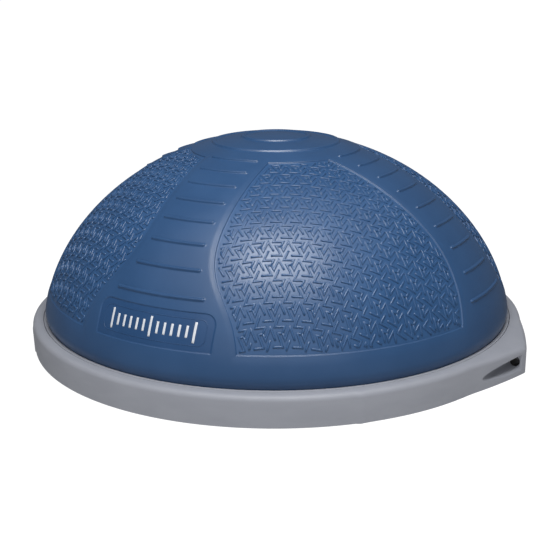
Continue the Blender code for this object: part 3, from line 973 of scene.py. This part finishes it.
def show(piece, node, body="trainer"):
    """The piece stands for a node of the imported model."""
    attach(piece, body)
    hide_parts(node)
    return piece


print("turning and cutting ready")

# %% [markdown]
# The platform is one injection moulding: a deck, a ledge for the clamp ring, a rounded rim and a slightly
# drafted wall. It is turned, and then the wall is pushed out into a blunt point at each handle, which keeps
# the rounded edge whole where a joined-on handle would need a blend. Most of its columns lie near the
# handles, because the rest is a plain circle.

# %% Platform
platform_low, platform_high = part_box("platform")
PLATFORM_BOTTOM = platform_low.z
PLATFORM_TOP = platform_high.z
WALL_DRAFT = 1.2 * MM
PLATFORM_RADIUS = platform_high.y - WALL_DRAFT
DECK_TOP = 6.0 * MM
LEDGE_TOP = 20.0 * MM
LEDGE_INNER = 0.277
SEAM_RADIUS = 0.3003
SLOPE_START = SEAM_RADIUS + 3.0 * MM
EDGE_ROUND = 6.0 * MM
HANDLE_REACH = 21.4 * MM
HANDLE_NOSE = 2.0 * MM
FLANK_SLOPE = 0.30
FLANK_ARC = 0.540
HANDLE_BLEND = 1.0 * MM
HANDLE_TAPER = 0.06
HANDLE_DROP = 3.0 * MM
HANDLE_SPAN = math.pi / 4
FINE_HALF = 0.094
NOSE_HALF = 4.0 * MM
COARSE_END = 74.0


def flank(across):
    """How far out of the axis a handle's flank is, at this distance from the handle's middle."""
    nose = np.hypot(across, HANDLE_NOSE) - HANDLE_NOSE
    return PLATFORM_RADIUS + HANDLE_REACH - FLANK_SLOPE * nose - across**2 / (2 * FLANK_ARC)


def handle_bulge(azimuth):
    """How far a handle pushes the platform's wall out at these azimuths."""
    away = np.abs(np.mod(azimuth, math.pi) - math.pi / 2)
    near = np.minimum(away, HANDLE_SPAN)
    radius = PLATFORM_RADIUS
    for _ in range(8):
        radius = flank(radius * np.sin(near)) / np.cos(near)
    over = radius - PLATFORM_RADIUS
    return np.where(away < HANDLE_SPAN, 0.5 * (over + np.hypot(over, HANDLE_BLEND)), 0.0)


def platform_columns():
    """Azimuths of the platform's columns: every degree, and about every millimetre near the handles."""
    nose = np.linspace(-NOSE_HALF, NOSE_HALF, 21)
    across = np.concatenate([np.linspace(-FINE_HALF, FINE_HALF, 189), nose])
    fine = np.arcsin(across / (PLATFORM_RADIUS + HANDLE_REACH))
    coarse = np.radians(np.arange(0.0, COARSE_END, 1.0))
    quarter_turns = [math.pi / 2 + fine, 1.5 * math.pi + fine]
    for start in (0.0, math.pi):
        quarter_turns += [start + coarse, start - coarse[1:]]
    return np.unique(np.round(np.mod(np.concatenate(quarter_turns), 2 * math.pi), 5))


def platform_outline():
    """The section, from the middle of the deck round to the middle of the underside."""
    wall_top = PLATFORM_RADIUS + WALL_DRAFT
    corners = [
        (0.0, DECK_TOP),
        (LEDGE_INNER, DECK_TOP, 1.0 * MM),
        (LEDGE_INNER, LEDGE_TOP, 0.5 * MM),
        (SEAM_RADIUS, LEDGE_TOP),
        (SEAM_RADIUS, PLATFORM_TOP, 0.35 * MM),
        (wall_top, PLATFORM_TOP, EDGE_ROUND),
        (wall_top - WALL_DRAFT / 2, PLATFORM_TOP / 2),
        (PLATFORM_RADIUS, PLATFORM_BOTTOM, 1.0 * MM),
        (0.0, PLATFORM_BOTTOM),
    ]
    return outline(corners, closed=False)


def make_platform_form():
    """The moulding before its cuts: the outline, turned and pushed out at the handles."""
    section = platform_outline()
    azimuth = platform_columns()
    bulge = np.where(section[:, :1] > SLOPE_START, handle_bulge(azimuth), 0.0)
    rise = section[:, 1:] / PLATFORM_TOP
    radius = section[:, :1] + bulge * (1 - HANDLE_TAPER * rise)
    height = section[:, 1:] - HANDLE_DROP * rise * bulge / HANDLE_REACH
    points = np.stack([radius * np.sin(azimuth), -radius * np.cos(azimuth), height], axis=-1)
    faces = grid_faces(len(section), len(azimuth))
    return new_piece("platform_moulding", points.reshape(-1, 3), faces, PLATFORM_PLASTIC, 35.0, weld=True)


platform = show(make_platform_form(), "platform")

# %% [markdown]
# Each handle has a finger scoop on both sides of an upright web. A scoop is half of a leaning ellipsoid:
# deep and open at the web, and shallower until it runs out on the wall. Its lips are rounded, the lower one
# much more than the upper one, and the cutter has these lips in its own shape, because a bevel on a cut edge
# breaks easily.

# %% Scoops
WEB_HALF = 9.5 * MM
SCOOP_TIP = 0.077
SCOOP_DEPTH = 17.5 * MM
SCOOP_HALF_HEIGHT = 8.3 * MM
SCOOP_LEVELS = (17.5 * MM, 15.4 * MM)
LOWER_LIP = 4.0 * MM
LOWER_RISE = 1.0 * MM
UPPER_LIP = 0.6 * MM
WEB_LIP = 0.8 * MM
OUTSIDE = 5.0 * MM


def lip(inward, size):
    """How much a rounded lip opens a cut, at this distance in from the wall's face."""
    share = np.clip(1 - inward / size, 0.0, 0.98)
    return size * (1 - np.sqrt(1 - share**2))


def scoop_section(share):
    """A scoop's section as (outward, up) points. `share` is 0 at the web and 1 at the scoop's end."""
    fade = math.sqrt(1 - share**2)
    depth, half_height = SCOOP_DEPTH * fade**2, SCOOP_HALF_HEIGHT * fade
    turn = np.linspace(0.0, math.pi / 2, 24)
    inward = depth * np.sin(turn)
    height = half_height * np.cos(turn)
    rise = LOWER_RISE * fade * np.cos(turn)
    lower = np.column_stack([-inward, rise - height - lip(inward, LOWER_LIP * fade)])
    upper = np.column_stack([-inward, height + lip(inward, UPPER_LIP * fade)])
    out_low, out_high = (OUTSIDE, lower[0, 1]), (OUTSIDE, upper[0, 1])
    return np.vstack([[out_low], lower, upper[::-1][1:], [out_high]])


def scoop_cutter(side_x, side_y):
    """The solid that a scoop removes, for the handle and the side of its web with these signs."""
    rings = []
    section = scoop_section(0.0)
    for scale in np.linspace(0.0, 1.0, 12):
        shrunk = section * scale
        rings.append((WEB_HALF - lip(-shrunk[:, 0], WEB_LIP), shrunk))
    for share in np.sin(np.linspace(0.0, 0.495 * math.pi, 44))[1:]:
        rings.append((WEB_HALF + (SCOOP_TIP - WEB_HALF) * share + 0 * section[:, 0], scoop_section(share)))
    points = []
    for across, ring in rings:
        share = np.clip((across - WEB_HALF) / (SCOOP_TIP - WEB_HALF), 0.0, 1.0)
        level = SCOOP_LEVELS[0] + (SCOOP_LEVELS[1] - SCOOP_LEVELS[0]) * share
        points.append(np.column_stack([flank(across) + ring[:, 0], across, level + ring[:, 1]]))
    count = len(section)
    faces = grid_faces(len(rings), count).tolist()
    faces.append(list(range((len(rings) - 1) * count, len(rings) * count)))
    points = np.vstack(points) * np.array([side_x, side_y, 1.0])
    cutter = new_piece("scoop", points, faces, PLATFORM_PLASTIC, weld=True)
    reshape(cutter.data, lambda shape: bmesh.ops.recalc_face_normals(shape, faces=shape.faces))
    return cutter


print("a scoop is", round(2 * SCOOP_HALF_HEIGHT / MM, 1), "mm high at the web")

# %% [markdown]
# A tunnel for a cord goes through each web, and on the underside are recesses for the screws and the foot
# pads. All of these are round, so their cutters are turned pieces. Their sizes and places come from the
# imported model, because the sleeves, screws and pads have to fit them. Every cut is made in one Boolean,
# which is quicker than one after the other.

# %% Tunnels and recesses
PIECE_GAP = 0.3 * MM
HEAD_GAP = 0.6 * MM


def drill(radius, low, high, place=None):
    """A round cutter from low to high along its axis."""
    section = outline([(0.0, high), (radius, high), (radius, low), (0.0, low)], closed=False)
    return turned("drill", section, 48, PLATFORM_PLASTIC, place)


def middle(node):
    low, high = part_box(node)
    return Vector((low + high) / 2)


def along_wall(node):
    """A frame at the node's middle whose Z axis runs along the wall."""
    return Matrix.Translation(middle(node)) @ Matrix.Rotation(math.pi / 2, 4, "X")


SLEEVES = ("tunnel_sleeve_1", "tunnel_sleeve_2")
SCREWS = sorted(node for node in frame["nodes"] if node.startswith("clamp_screw"))
PADS = sorted(node for node in frame["nodes"] if node.startswith("foot_pad"))
sleeve_low, sleeve_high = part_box(SLEEVES[0])
SLEEVE_RADIUS = (sleeve_high.z - sleeve_low.z) / 2
screw_low, screw_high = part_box(SCREWS[0])
SCREW_HEAD = (screw_high.x - screw_low.x) / 2
HEAD_HEIGHT = 3.0 * MM
SHANK_RADIUS = 2.0 * MM
pad_low, pad_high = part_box(PADS[0])
PAD_RADIUS = (pad_high.x - pad_low.x) / 2

cutters = [scoop_cutter(x, y) for x in (1, -1) for y in (1, -1)]
for node in SLEEVES:
    cutters.append(drill(SLEEVE_RADIUS + PIECE_GAP, -WEB_HALF - MM, WEB_HALF + MM, along_wall(node)))
for node in SCREWS:
    axis = Matrix.Translation(middle(node).to_2d().to_3d())
    head_top = screw_low.z + HEAD_HEIGHT + PIECE_GAP
    cutters.append(drill(SCREW_HEAD + HEAD_GAP, -OUTSIDE, head_top, axis))
    cutters.append(drill(SHANK_RADIUS + PIECE_GAP, 0.0, LEDGE_TOP + OUTSIDE, axis))
for node in PADS:
    axis = Matrix.Translation(middle(node).to_2d().to_3d())
    cutters.append(drill(PAD_RADIUS + PIECE_GAP, -OUTSIDE, pad_high.z + PIECE_GAP, axis))
cut(platform, cutters)

# %% [markdown]
# The clamp ring holds the dome's rim down. Its inner side follows the tuck of the dome, and its top is
# level with the platform's, with only a hairline seam between them. It is turned, like the platform, but it
# stays a plain ring. The bladder floor is hidden inside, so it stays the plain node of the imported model, in
# the dome's vinyl.

# %% Clamp ring and bladder floor
ring_low, ring_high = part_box("clamp_ring")
RING_OUTER = ring_high.y
TUCK_CLEAR = 0.35 * MM
FLANGE_RIM = 0.2913
FLANGE_CLEAR = TUCK_END[1] + 0.3 * MM


def tuck_radius(height):
    """The dome's radius at this height in its tuck, below its widest place."""
    tuck = curve[curve[:, 1] < TUCK_TOP]
    return float(np.interp(height, tuck[::-1, 1], tuck[::-1, 0]))


def ring_outline():
    levels = np.linspace(FLANGE_CLEAR, ring_high.z - 1.2 * MM, 9)
    inner = [(tuck_radius(level) + TUCK_CLEAR, level) for level in levels]
    corners = [
        (RING_OUTER, ring_high.z, 0.35 * MM),
        (RING_OUTER, ring_low.z),
        (FLANGE_RIM, ring_low.z),
        (FLANGE_RIM, FLANGE_CLEAR),
        *inner,
        (inner[-1][0] + 0.3 * MM, ring_high.z, 0.8 * MM),
    ]
    return outline(corners)


ring_moulding = turned("clamp_ring_moulding", ring_outline(), 360, RING_PLASTIC)
show(ring_moulding, "clamp_ring")
for slot in frame["nodes"]["bladder_floor"].material_slots:
    slot.material = DOME_VINYL

# %% [markdown]
# A black tube lines each tunnel, so that a cord doesn't chafe on the moulding. It is turned upright, with
# rounded mouths, and a matrix then lays it along the wall.

# %% Sleeves
SLEEVE_BORE = SLEEVE_RADIUS - 1.4 * MM
SLEEVE_HALF = (sleeve_high.y - sleeve_low.y) / 2
sleeve_outline = outline(
    [
        (SLEEVE_RADIUS, SLEEVE_HALF, 0.3 * MM),
        (SLEEVE_RADIUS, -SLEEVE_HALF, 0.3 * MM),
        (SLEEVE_BORE, -SLEEVE_HALF, 0.6 * MM),
        (SLEEVE_BORE, SLEEVE_HALF, 0.6 * MM),
    ]
)
for node in SLEEVES:
    sleeve = turned(node.replace("tunnel", "handle"), sleeve_outline, 64, SLEEVE_PLASTIC, along_wall(node))
    show(sleeve, node)

# %% [markdown]
# The air valve is in the smooth skirt, on a far side of the dome. A soft black collar is set into the
# vinyl, with a fine groove round its face. The plug has a dished head with a knurled rim for the fingers,
# and it slides straight out along its joint's axis, so it rides on a body of its own. Both are turned
# upright, and one matrix then leans them onto the dome. The knurl is pressed in by moving points, because
# its 24 flutes are one formula.

# %% The valve's place
VALVE_HEIGHT = 0.056
SEAT_FLANGE = 11.5 * MM
SEAT_BARREL = 7.8 * MM
SEAT_BORE = 4.5 * MM
SEAT_TOP = 2.2 * MM
SEAT_UNDER = 0.6 * MM
SEAT_END = -12.0 * MM
PLUG_HEAD = 8.0 * MM
PLUG_SHANK = 4.1 * MM
PLUG_BOTTOM = SEAT_TOP + 0.3 * MM
PLUG_TOP = PLUG_BOTTOM + 3.0 * MM
PLUG_END = -16.0 * MM
PLUG_DISH = PLUG_TOP - 0.7 * MM
GROOVE_RADIUS = 8.9 * MM
GROOVE_HALF = 0.3 * MM
KNURLS = 24
KNURL_DEPTH = 0.35 * MM


def valve_place():
    """The valve's frame: its origin on the dome's surface and its Z axis along the joint."""
    axis = Vector(frame["joints"][0]["axis"]).normalized()
    azimuth = math.atan2(axis.x, -axis.y)
    above_tuck = curve[: int(np.argmax(curve[:, 0]))]
    down = np.interp(-VALVE_HEIGHT, -above_tuck[:, 1], curve_length[: len(above_tuck)])
    origin = Vector(on_dome(azimuth, down))
    return Matrix.Translation(origin) @ axis.to_track_quat("Z", "Y").to_matrix().to_4x4()


print("valve at", [round(v, 3) for v in valve_place().translation])

# %% [markdown]
# The collar's outline is a closed loop with the bore in its middle. The plug's outline ends on the axis at
# both ends, so it turns into a solid. Both keep the small gap between them that lets the plug slide.

# %% Collar and plug
seat_outline = outline(
    [
        (SEAT_BORE, SEAT_TOP, 0.5 * MM),
        (GROOVE_RADIUS - GROOVE_HALF, SEAT_TOP, 0.1 * MM),
        (GROOVE_RADIUS, SEAT_TOP - GROOVE_HALF),
        (GROOVE_RADIUS + GROOVE_HALF, SEAT_TOP, 0.1 * MM),
        (SEAT_FLANGE, SEAT_TOP, 1.1 * MM),
        (SEAT_FLANGE, SEAT_UNDER, 0.2 * MM),
        (SEAT_BARREL, SEAT_UNDER, 0.2 * MM),
        (SEAT_BARREL, SEAT_END, 0.8 * MM),
        (SEAT_BORE, SEAT_END, 0.3 * MM),
    ]
)
plug_outline = outline(
    [
        (0.0, PLUG_DISH),
        (4.6 * MM, PLUG_DISH, 0.4 * MM),
        (5.6 * MM, PLUG_TOP, 0.5 * MM),
        (PLUG_HEAD, PLUG_TOP, 1.2 * MM),
        (PLUG_HEAD, PLUG_BOTTOM, 0.4 * MM),
        (PLUG_SHANK, PLUG_BOTTOM, 0.2 * MM),
        (PLUG_SHANK, PLUG_END, 1.0 * MM),
        (0.0, PLUG_END),
    ],
    closed=False,
)


def knurl(mesh):
    """Presses shallow flutes into the rim of the plug's head."""
    for vertex in mesh.vertices:
        radius = vertex.co.to_2d().length
        if radius > PLUG_HEAD - 0.5 * MM:
            turn = math.atan2(vertex.co.y, vertex.co.x)
            depth = KNURL_DEPTH * (0.5 + 0.5 * math.cos(KNURLS * turn)) ** 2
            vertex.co.xy *= 1 - depth / radius


valve_collar = turned("valve_collar", seat_outline, 96, BLACK_RUBBER)
valve_stopper = turned("valve_stopper", plug_outline, 192, PLUG_PLASTIC)
knurl(valve_stopper.data)
for piece in (valve_collar, valve_stopper):
    piece.data.transform(valve_place())
show(valve_collar, "valve_seat")
show(valve_stopper, "valve_plug", body="valve_plug")

# %% [markdown]
# Sixteen zinc plated screws with hexagon sockets are put in from below, and eight rubber pads carry the
# trainer. Each pad has two grooves, so that it grips a smooth floor. The screws are copies of one mesh, cut
# once, because a Boolean for each would take longer and look the same.

# %% Screws and pads
SOCKET_RADIUS = 2.0 * MM
SOCKET_DEPTH = 2.0 * MM
SCREW_LENGTH = screw_high.z - screw_low.z
PAD_THICKNESS = pad_high.z - pad_low.z
GROOVES = (11.0 * MM, 7.0 * MM)
GROOVE_SIDES = ((0.6 * MM, 0.0), (0.3 * MM, 0.7 * MM), (-0.3 * MM, 0.7 * MM), (-0.6 * MM, 0.0))
screw_outline = outline(
    [
        (0.0, SCREW_LENGTH),
        (SHANK_RADIUS, SCREW_LENGTH, 0.5 * MM),
        (SHANK_RADIUS, HEAD_HEIGHT, 0.2 * MM),
        (SCREW_HEAD, HEAD_HEIGHT, 0.2 * MM),
        (SCREW_HEAD, 0.0, 1.4 * MM),
        (0.0, 0.0),
    ],
    closed=False,
)
pad_corners = [(0.0, PAD_THICKNESS), (PAD_RADIUS, PAD_THICKNESS, 0.3 * MM), (PAD_RADIUS, 0.0, 0.7 * MM)]
for groove in GROOVES:
    pad_corners += [(groove + aside, depth) for aside, depth in GROOVE_SIDES]
pad_outline = outline([*pad_corners, (0.0, 0.0)], closed=False)


def hex_socket():
    """A six-sided cutter that reaches SOCKET_DEPTH into a screw's head."""
    inner = [(0.0, SOCKET_DEPTH), (SOCKET_RADIUS, SOCKET_DEPTH)]
    outer = [(SOCKET_RADIUS, -OUTSIDE), (0.0, -OUTSIDE)]
    return turned("socket", np.array(inner + outer), 6, ZINC_STEEL)


pattern_screw = turned("screw_01", screw_outline, 48, ZINC_STEEL)
cut(pattern_screw, [hex_socket()], sharp=25.0)
for number, node in enumerate(SCREWS, start=1):
    screw = pattern_screw
    if number > 1:
        screw = bpy.data.objects.new(f"screw_{number:02d}", pattern_screw.data.copy())
        bpy.context.scene.collection.objects.link(screw)
    screw.location = middle(node) - Vector((0.0, 0.0, SCREW_LENGTH / 2))
    show(screw, node)
for number, node in enumerate(PADS, start=1):
    foot = Matrix.Translation(middle(node) - Vector((0.0, 0.0, PAD_THICKNESS / 2)))
    pad = turned(f"pad_{number}", pad_outline, 64, BLACK_RUBBER, foot)
    show(pad, node)
